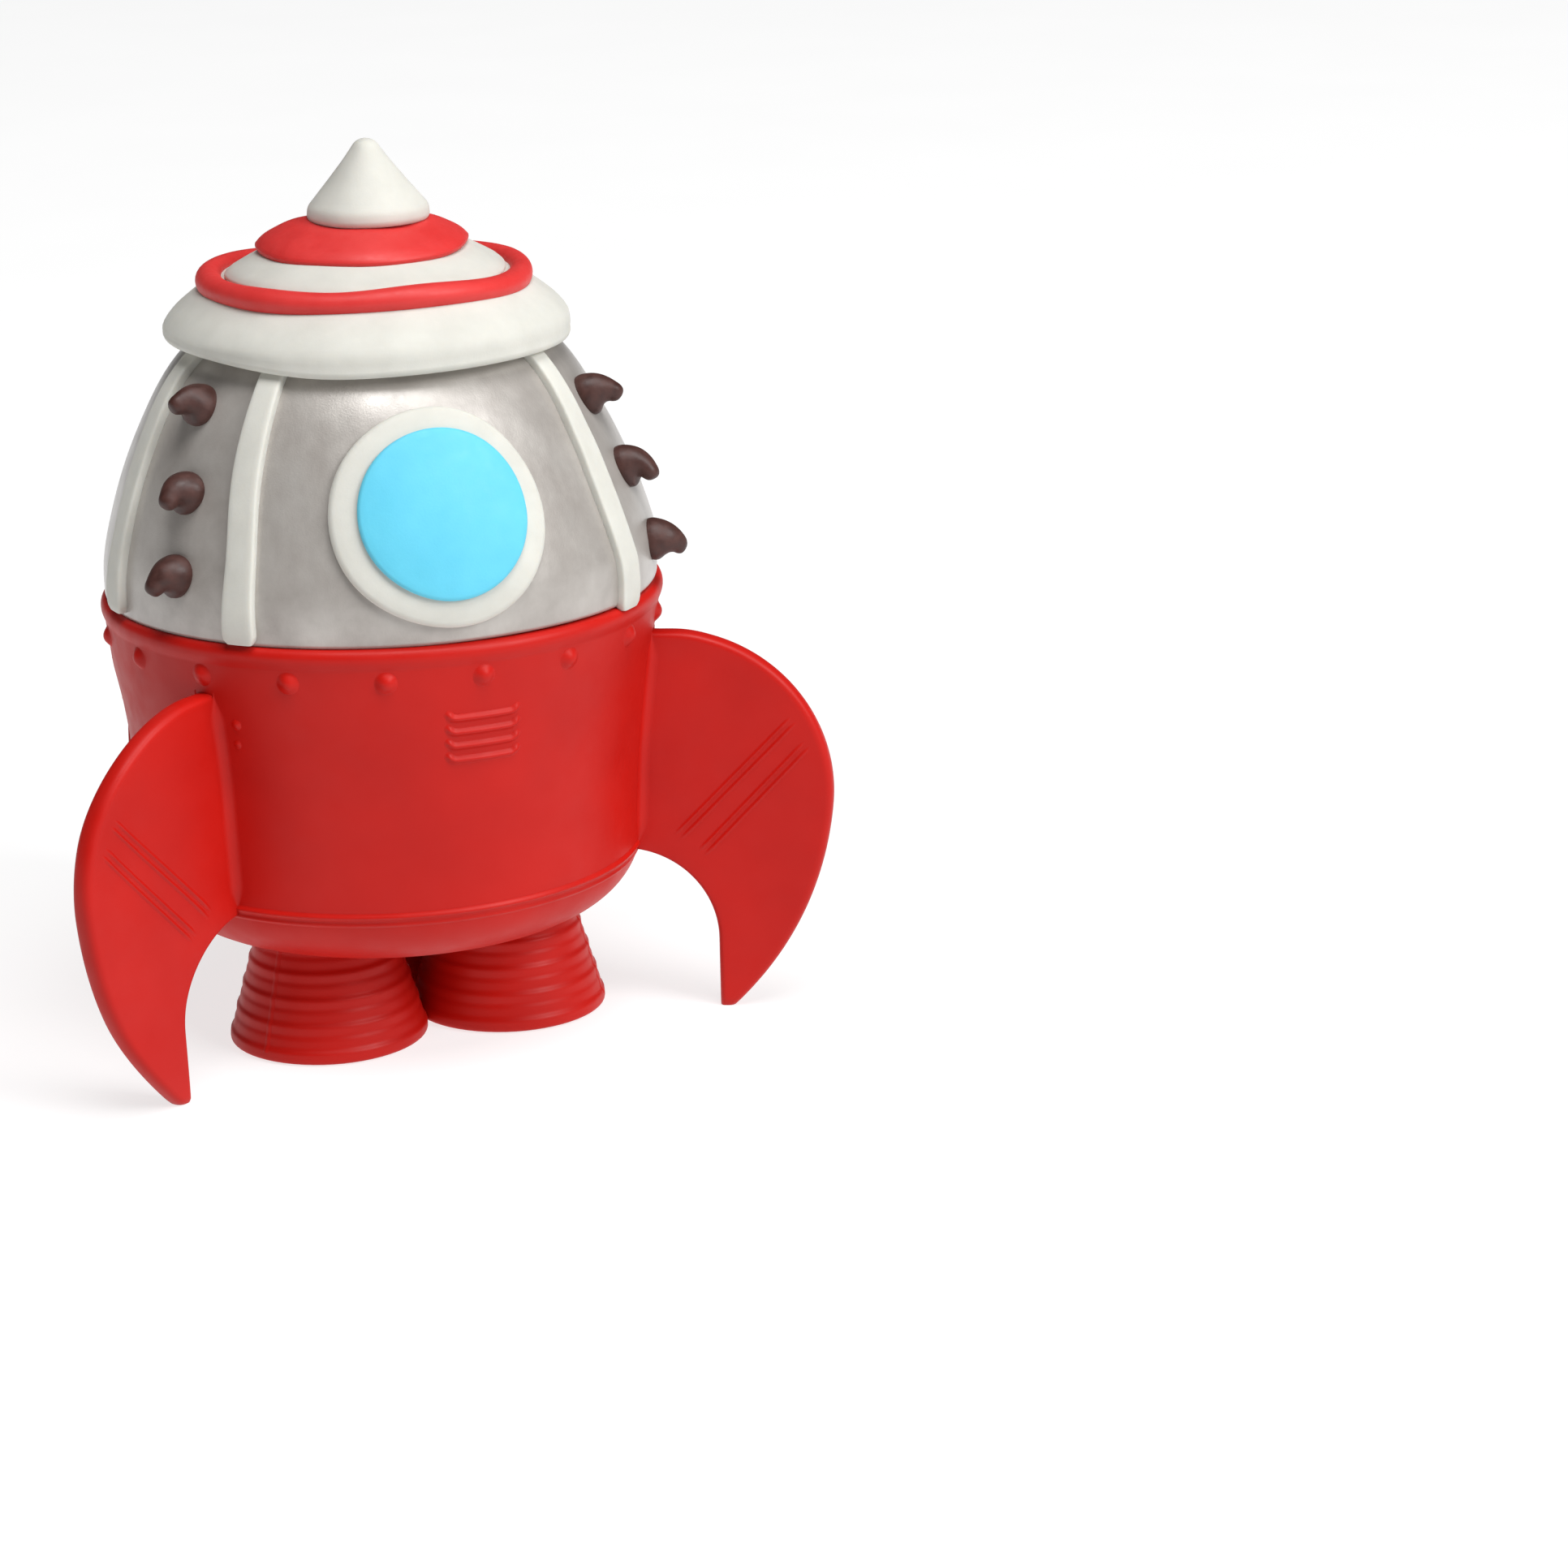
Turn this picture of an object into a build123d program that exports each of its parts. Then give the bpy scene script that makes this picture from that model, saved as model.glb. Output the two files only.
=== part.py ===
from build123d import *
import os
from math import cos, isclose, radians, sin

# Rocket baking cup with a decorated cake in it. Millimetres, +Z up.
# The origin is on the rocket's axis, on the plane that the feet and fin tips stand on.
# An azimuth is measured from -Y (the front) towards +X, seen from above.

# ---------------------------------------------------------------- silicone cup
RIM_RADIUS = 36.1
RIM_TOP = 59.0
BEAD_HEIGHT = 2.6
BEAD_INNER_RADIUS = 33.5
BEAD_ROUND = 1.1
WALL_FOOT_RADIUS = 33.25
WALL_FOOT_HEIGHT = 24.0
WALL_PROFILE = ((33.75, 34.0), (34.45, 43.5), (35.7, 56.4))
WALL_THICKNESS = 2.1
BOWL_FLAT_RADIUS = 22.0
BOWL_BOTTOM = 14.5
FLOOR_THICKNESS = 2.4

# a reach past every surface, for cutting tools
BEYOND = 60.0

SECTORS = (0, 120, 240)
FIN_AZIMUTHS = (60, 180, 300)
DOOR_AZIMUTH = 240

BAND_BOTTOM = 22.5
BAND_HEIGHT = 0.9
RELIEF_HEIGHT = 0.35

RIVET_COUNT = 18
RIVET_RADIUS = 1.32
RIVET_Z = 54.4
RIVET_CIRCLE = 35.45

VENT_COUNT = 4
VENT_TOP = 49.0
VENT_PITCH = 1.85
VENT_HALF_WIDTH = 4.0
VENT_TIP = 0.75
VENT_LINE = 0.85

DOOR_HALF_WIDTH = 5.5
DOOR_BOTTOM = 18.8
DOOR_SPRING = 36.9
DOOR_FRAME = 0.9
DOOR_GAP = 0.9
DOOR_WINDOW_RADIUS = 3.35
DOOR_WINDOW_LINE = 0.63

FIN_THICKNESS = 3.0
FIN_OUTER_ROUND = 1.2
FIN_INNER_ROUND = 0.7
FIN_TOP_CENTRE = (37.6, 30.2)
FIN_TOP_RADIUS = 22.1
FIN_TOP_SWEEP = -96.3
FIN_TIP = (45.7, 0.0)
FIN_TIP_WIDTH = 2.1
FIN_INNER_CENTRE = (31.0, 9.5)
FIN_INNER_RADIUS = 12.6
FIN_INNER_SWEEP = 80
FIN_ROOT_RADIUS = 31.1
FIN_LINE_WIDTH = 0.7
FIN_LINES = (((54.2, 41.2), (37.6, 22.8)), ((56.0, 37.6), (41.2, 21.4)))
FIN_LINE_HEIGHT = 0.2

FOOT_CIRCLE = 14.8
FOOT_RADIUS = 13.0
FOOT_STEPS = 4
FOOT_STEP_HEIGHT = 3.3
FOOT_STEP_DEPTH = 0.95
FOOT_LIP = 1.7
FOOT_EDGE = 0.1
FOOT_TOP = 15.3
NOZZLE_RADIUS = 10.4
NOZZLE_TOP_RADIUS = 7.6
NOZZLE_DEPTH = 9.0

# ---------------------------------------------------------------- cake and icing
CAKE_CLEARANCE = 0.3
CAKE_FLOOR_CLEARANCE = 0.1
DOME_BASE = 59.1
DOME_BASE_RADIUS = 35.3
DOME_CENTRE_Z = 60.0
FONDANT_THICKNESS = 2.6
BUTTERCREAM_THICKNESS = 1.2
DOME_PROFILE = ((35.4, 62.0), (34.0, 70.0), (30.5, 80.0), (24.3, 90.0))
DOME_TOP = 98.4

STRIP_AZIMUTHS = (-89.0, -50.0, 38.5, 100.0, 142.0, 218.0)
STRIP_BOTTOM_WIDTH = 4.4
STRIP_TOP_WIDTH = 3.3
STRIP_THICKNESS = 1.1
STRIP_BOTTOM = 59.4

PORTHOLES = (-6.6, 174.0)
PORTHOLE_Z = 74.0
PORTHOLE_ELEVATION = 20.5
PORTHOLE_REACH = 35.0
PORTHOLE_RADIUS = 13.8
PORTHOLE_THICKNESS = 1.3
PANE_RADIUS = 10.8
PANE_THICKNESS = 1.1

# azimuth and height of each chocolate drop, row by row, from the lowest up
CHIP_SPOTS = (
    ((-66.7, 66.5), (-67.2, 76.5), (-72.0, 86.4)),
    ((58.0, 64.3), (56.0, 74.3), (56.0, 83.7)),
)
CHIP_PROFILE = ((2.65, 0.7), (2.12, 1.9), (0.95, 3.3), (0.0, 4.9))
CHIP_FOOT = (2.4, -1.2)

SHOULDER_BOTTOM = 90.9
SHOULDER_TOP = 99.6
SHOULDER_TOP_RADIUS = 19.6
SHOULDER_EDGE = ((25.5, 90.9), (26.2, 92.2), (25.9, 94.2), (23.6, 96.9))
RING_RADIUS = 20.2
RING_Z = 99.5
RING_SECTION = (1.75, 1.6)
WHITE_DISC_EDGE = ((18.4, 99.6), (18.2, 100.6), (14.2, 103.0))
RED_DISC_EDGE = ((13.3, 103.0), (13.8, 103.6), (11.5, 105.3), (8.0, 106.6))
CONE_RADIUS = 7.9
CONE_EDGE = 0.9
CONE_TIP = 117.0
CONE_TIP_RADIUS = 1.6
CONE_HALF_ANGLE = 37.0
CONE_OFFSET = (0.7, -0.35, 0.0)


def outward(azimuth):
    """Unit vector away from the axis at an azimuth."""
    return Vector(sin(radians(azimuth)), -cos(radians(azimuth)), 0)


def tangent_plane(azimuth):
    """Plane through the axis that faces outwards: its x runs round the wall, its y is height."""
    across = Vector(cos(radians(azimuth)), sin(radians(azimuth)), 0)
    return Plane(origin=(0, 0, 0), x_dir=across, z_dir=outward(azimuth))


def turned(*edges):
    """Solid of revolution about Z from edges drawn as radius and height."""
    outline = Curve() + list(edges)
    section = Plane.XZ * make_face(outline)
    return revolve(section, Axis.Z)


def closed_profile(curve, *corners):
    """The curve's edges, closed by straight lines through the corners."""
    ends = [curve @ 1, *[Vector(*c) for c in corners], curve @ 0]
    sides = [Line(a, b) for a, b in zip(ends, ends[1:])]
    return [curve, *sides]


# ---------------------------------------------------------------- cup body
def wall_curve(offset):
    """The wall's outer line from the bowl up to the bead, moved out by offset."""
    points = [(radius + offset, z) for radius, z in WALL_PROFILE]
    return Spline((WALL_FOOT_RADIUS + offset, WALL_FOOT_HEIGHT), *points)


def bowl_curve(offset):
    """The rounded edge of the bowl's bottom: a quarter of an ellipse."""
    width = WALL_FOOT_RADIUS - BOWL_FLAT_RADIUS + offset
    height = WALL_FOOT_HEIGHT - BOWL_BOTTOM + offset
    centre = (BOWL_FLAT_RADIUS, WALL_FOOT_HEIGHT)
    return EllipticalCenterArc(centre, width, height, start_angle=-90, arc_size=90)


def outer_solid(offset):
    """The cup without its hollow, without the bead."""
    bowl = bowl_curve(offset)
    wall = wall_curve(offset)
    base = BOWL_BOTTOM - offset
    top = RIM_TOP - BEAD_HEIGHT
    sides = [
        Line((0, base), bowl @ 0),
        bowl,
        wall,
        Line(wall @ 1, (0, top)),
        Line((0, top), (0, base)),
    ]
    return turned(*sides)


def rim_bead():
    """The rounded bead round the mouth."""
    width = RIM_RADIUS - BEAD_INNER_RADIUS
    middle = BEAD_INNER_RADIUS + width / 2
    centre = (middle, RIM_TOP - BEAD_HEIGHT / 2)
    section = Plane.XZ * Pos(*centre) * RectangleRounded(width, BEAD_HEIGHT, BEAD_ROUND)
    return revolve(section, Axis.Z)


def inner_solid(clearance, floor_clearance, top):
    """The cup's hollow, made smaller by the clearances, up to a height."""
    foot = WALL_FOOT_RADIUS - WALL_THICKNESS - clearance
    flat = BOWL_FLAT_RADIUS - WALL_THICKNESS - clearance
    floor = BOWL_BOTTOM + FLOOR_THICKNESS + floor_clearance
    drop = WALL_FOOT_HEIGHT - floor
    corner = EllipticalCenterArc((flat, WALL_FOOT_HEIGHT), foot - flat, drop, start_angle=-90, arc_size=90)
    mouth = (BEAD_INNER_RADIUS - clearance, top)
    sides = [
        Line((0, floor), corner @ 0),
        corner,
        Line(corner @ 1, mouth),
        Line(mouth, (0, top)),
        Line((0, top), (0, floor)),
    ]
    return turned(*sides)


# ---------------------------------------------------------------- fins
def fin_outline():
    """Fin seen from the side, as radius and height: two outer arcs, a tip and an inner arc."""
    crown = CenterArc(FIN_TOP_CENTRE, FIN_TOP_RADIUS, 90, FIN_TOP_SWEEP)
    blade = TangentArc(crown @ 1, FIN_TIP, tangent=crown % 1)
    heel = (FIN_TIP[0] - FIN_TIP_WIDTH, FIN_TIP[1])
    hollow = CenterArc(FIN_INNER_CENTRE, FIN_INNER_RADIUS, 0, FIN_INNER_SWEEP)
    root_low = (FIN_ROOT_RADIUS, (hollow @ 1).Y)
    root_high = (FIN_ROOT_RADIUS, (crown @ 0).Y)
    sides = [
        crown,
        blade,
        Line(FIN_TIP, heel),
        Line(heel, hollow @ 0),
        hollow,
        Line(hollow @ 1, root_low),
        Line(root_low, root_high),
        Line(root_high, crown @ 0),
    ]
    return make_face(Curve() + sides)


def fin():
    """One fin in the XZ plane, rounded along its free edges, with two raised lines on each face."""
    blade = extrude(Plane.XZ * fin_outline(), FIN_THICKNESS / 2, both=True)
    half = FIN_THICKNESS / 2
    rims = blade.edges().filter_by(lambda e: abs(e.center().Y) > 0 and e.length > FIN_TIP_WIDTH)
    outer = rims.filter_by(lambda e: e.center().X > FIN_TIP[0])
    blade = fillet(outer, FIN_OUTER_ROUND)
    hollow_end = FIN_INNER_CENTRE[0] + FIN_INNER_RADIUS
    hollow_top = FIN_INNER_CENTRE[1] + FIN_INNER_RADIUS
    rims = blade.edges().filter_by(lambda e: isclose(abs(e.center().Y), half, abs_tol=0.01))
    rims = rims.filter_by(lambda e: e.center().Z < hollow_top)
    inner = rims.filter_by(lambda e: FIN_INNER_CENTRE[0] < e.center().X < hollow_end + 0.1)
    blade = fillet(inner, FIN_INNER_ROUND)
    for start, end in FIN_LINES:
        middle = ((start[0] + end[0]) / 2, (start[1] + end[1]) / 2)
        stroke = SlotCenterPoint(middle, end, FIN_LINE_WIDTH)
        bar = extrude(Plane.XZ * stroke, half + FIN_LINE_HEIGHT, both=True)
        blade += bar
    return blade


# ---------------------------------------------------------------- feet
def foot_solid():
    """Bell-shaped booster with stepped lips and an open nozzle below."""
    points = [(0, 0), (FOOT_RADIUS - FOOT_EDGE, 0)]
    for step in range(FOOT_STEPS + 1):
        radius = FOOT_RADIUS - step * FOOT_STEP_DEPTH
        low = FOOT_EDGE + step * FOOT_STEP_HEIGHT
        points.append((radius, low))
        points.append((radius, low + FOOT_LIP))
    points[-1] = (points[-1][0], FOOT_TOP)
    points.append((0, FOOT_TOP))
    bell = turned(*[Line(a, b) for a, b in zip(points, points[1:] + points[:1])])
    hollow = [(0, 0), (NOZZLE_RADIUS, 0), (NOZZLE_TOP_RADIUS, NOZZLE_DEPTH), (0, NOZZLE_DEPTH)]
    nozzle = turned(*[Line(a, b) for a, b in zip(hollow, hollow[1:] + hollow[:1])])
    return bell, nozzle


# ---------------------------------------------------------------- raised lines on the wall
def vent_sketch():
    """Four level lines whose ends turn up."""
    sketch = Sketch()
    for row in range(VENT_COUNT):
        z = VENT_TOP - row * VENT_PITCH
        left, right = (-VENT_HALF_WIDTH, z), (VENT_HALF_WIDTH, z)
        path = Polyline(
            (left[0] - VENT_TIP, z + VENT_TIP), left, right, (right[0] + VENT_TIP, z + VENT_TIP)
        )
        sketch += trace(path, VENT_LINE)
    return sketch


def arch(half_width, bottom):
    """Door shape: a rectangle under a half circle."""
    height = DOOR_SPRING - bottom
    panel = Pos(0, bottom + height / 2) * Rectangle(2 * half_width, height)
    return panel + Pos(0, DOOR_SPRING) * Circle(half_width)


def door_sketch():
    """Two nested outlines and a round window."""
    sketch = Sketch()
    inset = DOOR_FRAME + DOOR_GAP
    for step, line in ((0, DOOR_FRAME), (inset, DOOR_FRAME / 2)):
        half_width = DOOR_HALF_WIDTH - step
        bottom = DOOR_BOTTOM + step
        sketch += arch(half_width, bottom) - arch(half_width - line, bottom + line)
    window = Circle(DOOR_WINDOW_RADIUS) - Circle(DOOR_WINDOW_RADIUS - DOOR_WINDOW_LINE)
    opening = Circle(DOOR_WINDOW_RADIUS)
    return (sketch - Pos(0, DOOR_SPRING) * opening) + Pos(0, DOOR_SPRING) * window


def relief(raised):
    """Vents, the door and the band, standing off the wall by the relief height."""
    pieces = []
    for azimuth in SECTORS:
        pieces.append(raised & extrude(tangent_plane(azimuth) * vent_sketch(), BEYOND))
    pieces.append(raised & extrude(tangent_plane(DOOR_AZIMUTH) * door_sketch(), BEYOND))
    band = Pos(0, 0, BAND_BOTTOM + BAND_HEIGHT / 2) * Cylinder(BEYOND, BAND_HEIGHT)
    door = extrude(tangent_plane(DOOR_AZIMUTH) * arch(DOOR_HALF_WIDTH, DOOR_BOTTOM), BEYOND)
    pieces.append((raised & band) - door)
    return pieces


def silicone_cup():
    """The whole moulding: bowl, bead, fins, feet, rivets and raised lines in one piece."""
    cup = outer_solid(0) + rim_bead()
    blade = fin()
    bell, nozzle = foot_solid()
    for azimuth in FIN_AZIMUTHS:
        cup += Rot(0, 0, azimuth - 90) * blade
        cup += Pos(outward(azimuth) * FOOT_CIRCLE) * bell
    for index in range(RIVET_COUNT):
        place = outward(index * 360 / RIVET_COUNT) * RIVET_CIRCLE
        cup += Pos(place.X, place.Y, RIVET_Z) * Sphere(RIVET_RADIUS)
    for piece in relief(outer_solid(RELIEF_HEIGHT)):
        cup += piece
    for azimuth in FIN_AZIMUTHS:
        cup -= Pos(outward(azimuth) * FOOT_CIRCLE) * nozzle
    return cup - inner_solid(0, 0, RIM_TOP + 1)


# ---------------------------------------------------------------- cake under its icing
def dome_solid(offset):
    """The dome over the rim, moved out by offset along its slope."""
    points = [(DOME_BASE_RADIUS + offset, DOME_BASE)]
    for radius, z in DOME_PROFILE:
        rise = z - DOME_CENTRE_Z
        reach = (radius**2 + rise**2) ** 0.5
        points.append((radius + offset * radius / reach, z + offset * rise / reach))
    top = (0, DOME_TOP + offset)
    skin = Spline(*points, top, tangents=[(0.15, 1), (-1, 0)])
    return turned(*closed_profile(skin, (0, DOME_BASE)))


def sponge_cake(crumb_dome):
    """Cake baked in the cup, with its risen dome."""
    lower = inner_solid(CAKE_CLEARANCE, CAKE_FLOOR_CLEARANCE, DOME_BASE)
    return lower + crumb_dome


def strip(azimuth, skin, raised):
    """Flat icing bar that lies on the dome, wider at its foot."""
    corners = [
        (-STRIP_BOTTOM_WIDTH / 2, STRIP_BOTTOM),
        (STRIP_BOTTOM_WIDTH / 2, STRIP_BOTTOM),
        (STRIP_TOP_WIDTH / 2, SHOULDER_BOTTOM),
        (-STRIP_TOP_WIDTH / 2, SHOULDER_BOTTOM),
    ]
    wedge = extrude(tangent_plane(azimuth) * make_face(Polyline(*corners, close=True)), BEYOND)
    return (raised & wedge) - skin


def porthole_plane(azimuth):
    """Plane on the axis that faces out through a porthole."""
    tilt = radians(PORTHOLE_ELEVATION)
    out = outward(azimuth)
    facing = Vector(out.X * cos(tilt), out.Y * cos(tilt), sin(tilt))
    across = Vector(cos(radians(azimuth)), sin(radians(azimuth)), 0)
    base_z = PORTHOLE_Z - PORTHOLE_REACH * sin(tilt)
    return Plane(origin=(0, 0, base_z), x_dir=across, z_dir=facing)


def porthole(azimuth, skin, disc_skin, pane_skin):
    """White icing disc on the dome, and the coloured disc on top of it."""
    plane = porthole_plane(azimuth)
    disc = (disc_skin & extrude(plane * Circle(PORTHOLE_RADIUS), BEYOND)) - skin
    pane = (pane_skin & extrude(plane * Circle(PANE_RADIUS), BEYOND)) - disc_skin
    return disc, pane


def chip_drop():
    """Chocolate drop standing on its base along Z: a round foot that draws in to a tip."""
    side = Spline(*CHIP_PROFILE, tangents=[(0.2, 1), (-0.7, 0.7)])
    return turned(*closed_profile(side, (0, CHIP_FOOT[1]), CHIP_FOOT))


def chip(azimuth, z, skin, drop):
    """One chocolate drop, standing straight out of the dome at a height."""
    near = min(DOME_PROFILE, key=lambda point: abs(point[1] - z))
    level = [point for point in DOME_PROFILE if point is not near]
    other = min(level, key=lambda point: abs(point[1] - z))
    share = (z - near[1]) / (other[1] - near[1])
    radius = near[0] + share * (other[0] - near[0])
    rise = z - DOME_CENTRE_Z
    out = outward(azimuth)
    facing = Vector(out.X, out.Y, rise / (radius + rise)).normalized()
    seat = Plane(origin=(out.X * radius, out.Y * radius, z), z_dir=facing)
    return seat * drop - skin


# ---------------------------------------------------------------- nose
def shoulder_disc(skin):
    """Thick icing disc over the top of the dome."""
    edge = Spline(*SHOULDER_EDGE, (SHOULDER_TOP_RADIUS, SHOULDER_TOP))
    outline = closed_profile(edge, (0, SHOULDER_TOP), (0, SHOULDER_BOTTOM))
    return turned(*outline) - skin


def icing_round(profile):
    """Flat-topped round of icing, from its edge drawn as radius and height."""
    edge = Spline(*profile)
    return turned(*closed_profile(edge, (0, profile[-1][1]), (0, profile[0][1])))


def white_disc():
    """Icing disc inside the ring, with a sloping edge."""
    return icing_round(WHITE_DISC_EDGE)


def red_ring(*neighbours):
    """Rolled rope of icing round the white disc, trimmed where it is pressed on."""
    section = Plane.XZ * Pos(RING_RADIUS, RING_Z) * Ellipse(*RING_SECTION)
    ring = revolve(section, Axis.Z)
    for neighbour in neighbours:
        ring -= neighbour
    return ring


def red_disc():
    """Icing disc with a low round shoulder."""
    return icing_round(RED_DISC_EDGE)


def nose_cone():
    """Pointed cap with a round foot and a ball tip, set down by hand a little off the axis."""
    base_z = RED_DISC_EDGE[-1][1]
    widest = base_z + CONE_EDGE
    lean = radians(CONE_HALF_ANGLE)
    ball_z = CONE_TIP - CONE_TIP_RADIUS
    flank_foot = (CONE_RADIUS - 0.5, widest + CONE_EDGE)
    flank_head = (CONE_TIP_RADIUS * cos(lean), ball_z + CONE_TIP_RADIUS * sin(lean))
    foot = ThreePointArc((CONE_RADIUS - 0.6, base_z), (CONE_RADIUS, widest), flank_foot)
    tip = CenterArc((0, ball_z), CONE_TIP_RADIUS, CONE_HALF_ANGLE, 90 - CONE_HALF_ANGLE)
    flank = Line(flank_foot, flank_head)
    base = [Line((0, CONE_TIP), (0, base_z)), Line((0, base_z), foot @ 0)]
    return Pos(*CONE_OFFSET) * turned(foot, flank, tip, *base)


def all_parts():
    """Every node by name."""
    fondant = dome_solid(0)
    cream = dome_solid(-FONDANT_THICKNESS)
    crumb = dome_solid(-FONDANT_THICKNESS - BUTTERCREAM_THICKNESS)
    parts = {"silicone_cup": silicone_cup()}
    parts["sponge_cake"] = sponge_cake(crumb)
    parts["buttercream_coat"] = cream - crumb
    parts["silver_fondant"] = fondant - cream
    strip_skin = dome_solid(STRIP_THICKNESS)
    for number, azimuth in enumerate(STRIP_AZIMUTHS, 1):
        parts[f"white_strip_{number}"] = strip(azimuth, fondant, strip_skin)
    disc_skin = dome_solid(PORTHOLE_THICKNESS)
    pane_skin = dome_solid(PORTHOLE_THICKNESS + PANE_THICKNESS)
    for number, azimuth in enumerate(PORTHOLES, 1):
        disc, pane = porthole(azimuth, fondant, disc_skin, pane_skin)
        parts[f"porthole_disc_{number}"] = disc
        parts[f"porthole_pane_{number}"] = pane
    drop = chip_drop()
    for row, spots in enumerate(CHIP_SPOTS, 1):
        for level, (azimuth, z) in enumerate(spots, 1):
            parts[f"chocolate_chip_{row}_{level}"] = chip(azimuth, z, fondant, drop)
    parts["shoulder_disc"] = shoulder_disc(fondant)
    parts["white_disc"] = white_disc()
    parts["red_ring"] = red_ring(parts["shoulder_disc"], parts["white_disc"])
    parts["red_disc"] = red_disc()
    parts["nose_cone"] = nose_cone()
    return parts


os.makedirs("parts", exist_ok=True)
for name, shape in all_parts().items():
    solids = shape.solids()
    print(name, len(solids), round(sum(s.volume for s in solids), 1))
    export_step(solids[0] if len(solids) == 1 else Compound(solids), f"parts/{name}.step")
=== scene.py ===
"""Looks of the rocket baking cup and its decorated cake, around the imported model.

Shapes are worked out in millimetres with numpy and put into meshes in metres.
An azimuth is measured from -Y (the front) towards +X, seen from above.
"""
import bpy
import numpy as np
from mathutils import Matrix, Vector


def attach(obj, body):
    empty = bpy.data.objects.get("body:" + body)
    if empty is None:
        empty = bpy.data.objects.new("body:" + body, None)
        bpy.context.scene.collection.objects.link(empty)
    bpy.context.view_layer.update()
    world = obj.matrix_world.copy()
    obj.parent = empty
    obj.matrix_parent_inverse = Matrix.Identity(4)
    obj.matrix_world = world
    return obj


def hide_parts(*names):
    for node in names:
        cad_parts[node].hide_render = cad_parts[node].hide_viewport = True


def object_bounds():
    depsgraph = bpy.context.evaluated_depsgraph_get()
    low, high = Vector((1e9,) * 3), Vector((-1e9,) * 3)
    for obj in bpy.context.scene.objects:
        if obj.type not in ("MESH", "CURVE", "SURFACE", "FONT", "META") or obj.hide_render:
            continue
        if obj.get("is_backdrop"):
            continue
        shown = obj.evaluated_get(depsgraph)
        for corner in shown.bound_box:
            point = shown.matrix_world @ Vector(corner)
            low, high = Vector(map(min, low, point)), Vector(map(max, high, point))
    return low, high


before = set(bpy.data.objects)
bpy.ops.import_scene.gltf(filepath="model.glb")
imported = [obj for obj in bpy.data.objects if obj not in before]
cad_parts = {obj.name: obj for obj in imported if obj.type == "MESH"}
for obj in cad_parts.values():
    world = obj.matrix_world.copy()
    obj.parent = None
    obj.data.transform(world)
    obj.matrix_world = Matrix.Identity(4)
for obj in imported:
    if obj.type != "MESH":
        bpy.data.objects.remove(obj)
cad_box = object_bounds()

MM = 0.001
TAU = 2 * np.pi


# ================================================================ curves and surfaces
def polar(radius, azimuth, z):
    """Points at a radius, an azimuth in degrees and a height: x = r sin a, y = -r cos a."""
    angle = np.radians(azimuth)
    radius, angle, z = np.broadcast_arrays(radius, angle, z)
    return np.stack([radius * np.sin(angle), -radius * np.cos(angle), z], -1)


def smoothstep(x):
    """0 below 0, 1 above 1, and 3x^2 - 2x^3 between."""
    x = np.clip(x, 0, 1)
    return x * x * (3 - 2 * x)


def line(start, end, count):
    """Evenly spaced points from start to end."""
    share = np.linspace(0, 1, count)[:, None]
    return np.array(start) * (1 - share) + np.array(end) * share


def arc(centre, radius, start, end, count):
    """Points on a circle or ellipse: centre + radius * (cos a, sin a), a in degrees."""
    angle = np.radians(np.linspace(start, end, count))
    return np.array(centre) + np.stack([np.cos(angle), np.sin(angle)], -1) * radius


def even(path, step):
    """The path again with points a step apart along its length."""
    gaps = np.linalg.norm(np.diff(path, axis=0), axis=1)
    path = path[np.r_[True, gaps > 1e-9]]
    run = np.r_[0, np.cumsum(np.linalg.norm(np.diff(path, axis=0), axis=1))]
    count = max(int(round(run[-1] / step)), 4) + 1
    at = np.linspace(0, run[-1], count)
    return np.stack([np.interp(at, run, path[:, k]) for k in range(path.shape[1])], -1)


def softened(path, step, radius):
    """The path with its corners rounded: each point becomes a bell-weighted mean of its neighbours."""
    path = even(path, step)
    reach = max(int(round(radius / step)), 1)
    weight = np.cos(np.linspace(-1, 1, 2 * reach + 3)[1:-1] * np.pi / 2) ** 2
    weight /= weight.sum()
    before = 2 * path[0] - path[1 : reach + 1][::-1]
    after = 2 * path[-1] - path[-reach - 1 : -1][::-1]
    padded = np.concatenate([before, path, after])
    mean = np.stack([np.convolve(padded[:, k], weight, "valid") for k in range(path.shape[1])], -1)
    mean[0], mean[-1] = path[0], path[-1]
    return mean


def through(points, count):
    """A smooth curve through the points: cubic pieces whose slope at a point is that of its neighbours."""
    points = np.array(points, float)
    run = np.r_[0, np.cumsum(np.linalg.norm(np.diff(points, axis=0), axis=1))]
    slope = np.gradient(points, run, axis=0, edge_order=2)
    at = np.linspace(0, run[-1], count)
    i = np.clip(np.searchsorted(run, at, "right") - 1, 0, len(run) - 2)
    gap = (run[i + 1] - run[i])[:, None]
    t = ((at - run[i]) / gap[:, 0])[:, None]
    stay, go = smoothstep(1 - t), smoothstep(t)
    leave, arrive = t * (1 - t) ** 2, -(t**2) * (1 - t)
    return points[i] * stay + points[i + 1] * go + gap * (slope[i] * leave + slope[i + 1] * arrive)


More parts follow.
